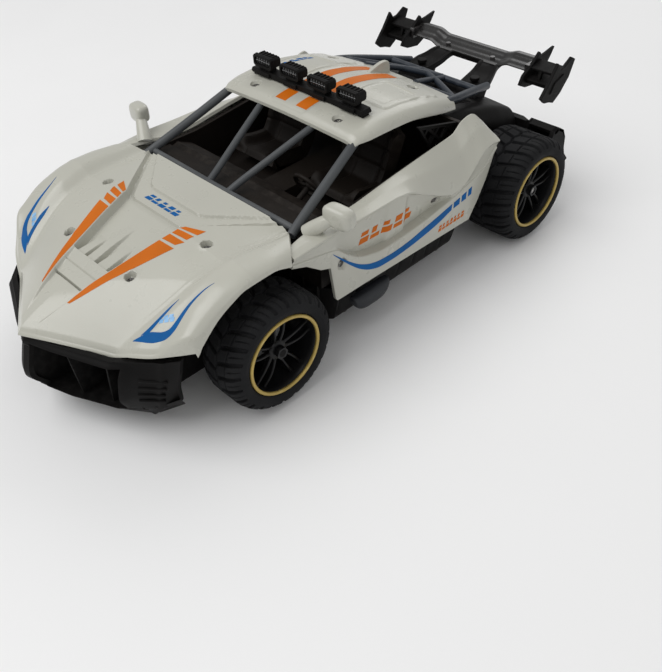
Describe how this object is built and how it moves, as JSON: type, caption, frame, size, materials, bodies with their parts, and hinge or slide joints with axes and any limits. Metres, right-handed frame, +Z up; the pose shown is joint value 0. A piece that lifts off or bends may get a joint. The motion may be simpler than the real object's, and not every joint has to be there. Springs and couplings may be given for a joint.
{
  "type": "remote control car",
  "caption": "Toy off-road racing car with separate body panels, roll cage, rear wing, steered front wheels and a geared rear axle.",
  "frame": {"origin": "on the ground, under the middle of the car's bounding box", "axes": "-Y points out of the nose, +X is the car's left side, +Z up"},
  "size_m": [0.18, 0.357, 0.117],
  "materials": {
    "black_moulding": "satin black moulding",
    "board": "green circuit board",
    "brass": "brass",
    "cell": "wrapped cell",
    "gear_nylon": "natural nylon",
    "grey_tube": "satin dark grey moulding",
    "lens": "gloss black lens",
    "rim_black": "black semi gloss plastic",
    "ring_gold": "gold ring",
    "steel": "plain steel",
    "tyre": "soft dark rubber",
    "white_panel": "glossy cream-white painted panel with orange and blue stripes",
    "wing_black": "dark grey satin blade"
  },
  "bodies": {
    "chassis": {"axle_bushes": "brass", "battery_cells": "cell", "battery_cover": "black_moulding", "body_screws": "steel", "chassis_screws": "steel", "chassis_tray": "black_moulding", "circuit_board": "board", "cockpit_tub": "black_moulding", "dashboard": "black_moulding", "door_left": "white_panel", "door_right": "white_panel", "front_beam": "black_moulding", "front_bumper": "black_moulding", "gearbox_left_half": "black_moulding", "gearbox_right_half": "black_moulding", "hood_panel": "white_panel", "lamp_lenses": "lens", "lattice_left": "black_moulding", "lattice_right": "black_moulding", "light_bar_lamps": "black_moulding", "light_bar_rail": "black_moulding", "mirrors": "white_panel", "motor_can": "steel", "rear_bumper": "black_moulding", "rear_cage": "grey_tube", "rear_deck": "black_moulding", "roof_panel": "white_panel", "seats": "black_moulding", "side_steps": "grey_tube", "steering_servo": "black_moulding", "steering_wheel": "black_moulding", "windscreen_cage": "grey_tube", "wing_blade": "wing_black", "wing_endplate_left": "wing_black", "wing_endplate_right": "wing_black", "wing_struts": "wing_black"},
    "knuckle_left": {"knuckle_left": "black_moulding", "wheel_nut_front_left": "steel"},
    "knuckle_right": {"knuckle_right": "black_moulding", "wheel_nut_front_right": "steel"},
    "tie_rod": {"tie_rod": "black_moulding"},
    "servo_horn": {"servo_horn": "black_moulding"},
    "wheel_front_left": {"tyre_front_left": "tyre", "rim_front_left": "rim_black", "rim_ring_front_left": "ring_gold"},
    "wheel_front_right": {"tyre_front_right": "tyre", "rim_front_right": "rim_black", "rim_ring_front_right": "ring_gold"},
    "rear_axle": {"rear_axle_shaft": "steel", "axle_gear": "gear_nylon", "tyre_rear_left": "tyre", "tyre_rear_right": "tyre", "rim_rear_left": "rim_black", "rim_rear_right": "rim_black", "rim_rings_rear": "ring_gold", "wheel_nuts_rear": "steel"},
    "idler": {"idler_gear": "gear_nylon"},
    "motor_rotor": {"motor_pinion": "brass"},
    "power_switch": {"power_switch_knob": "black_moulding"},
    "trim": {"trim_lever": "black_moulding"}
  },
  "joints": [
    {"name": "steer_left", "type": "hinge", "parent": "chassis", "child": "knuckle_left", "pos_m": [0.052, -0.0855, 0.032], "axis": [0, 0, 1], "range_deg": [-16, 16]},
    {"name": "steer_right", "type": "hinge", "parent": "chassis", "child": "knuckle_right", "pos_m": [-0.052, -0.0855, 0.032], "axis": [0, 0, 1], "range_deg": [-16, 16]},
    {"name": "tie_rod_swing", "type": "hinge", "parent": "knuckle_left", "child": "tie_rod", "pos_m": [0.052, -0.0655, 0.0285], "axis": [0, 0, 1], "range_deg": [-16, 16]},
    {"name": "servo_swing", "type": "hinge", "parent": "chassis", "child": "servo_horn", "pos_m": [0, -0.0855, 0.0285], "axis": [0, 0, 1], "range_deg": [-16, 16]},
    {"name": "wheel_front_left_spin", "type": "hinge", "parent": "knuckle_left", "child": "wheel_front_left", "pos_m": [0.072, -0.0855, 0.032], "axis": [1, 0, 0], "continuous": true},
    {"name": "wheel_front_right_spin", "type": "hinge", "parent": "knuckle_right", "child": "wheel_front_right", "pos_m": [-0.072, -0.0855, 0.032], "axis": [1, 0, 0], "continuous": true},
    {"name": "rear_axle_spin", "type": "hinge", "parent": "chassis", "child": "rear_axle", "pos_m": [0, 0.1145, 0.032], "axis": [1, 0, 0], "continuous": true},
    {"name": "idler_spin", "type": "hinge", "parent": "chassis", "child": "idler", "pos_m": [0.012, 0.09696, 0.03981], "axis": [1, 0, 0], "continuous": true},
    {"name": "motor_spin", "type": "hinge", "parent": "chassis", "child": "motor_rotor", "pos_m": [0.018, 0.08246, 0.03305], "axis": [1, 0, 0], "continuous": true},
    {"name": "power_switch_slide", "type": "slide", "parent": "chassis", "child": "power_switch", "axis": [0, 1, 0], "range_m": [0, 0.003]},
    {"name": "trim_lever_turn", "type": "hinge", "parent": "chassis", "child": "trim", "pos_m": [0, -0.0555, 0.009], "axis": [0, 0, 1], "range_deg": [-15, 15]}
  ],
  "couplings": [
    {"joint": "steer_right", "follows": "steer_left", "ratio": 1},
    {"joint": "tie_rod_swing", "follows": "steer_left", "ratio": -1},
    {"joint": "servo_swing", "follows": "steer_left", "ratio": 1},
    {"joint": "idler_spin", "follows": "rear_axle_spin", "ratio": -3},
    {"joint": "motor_spin", "follows": "rear_axle_spin", "ratio": 9}
  ]
}
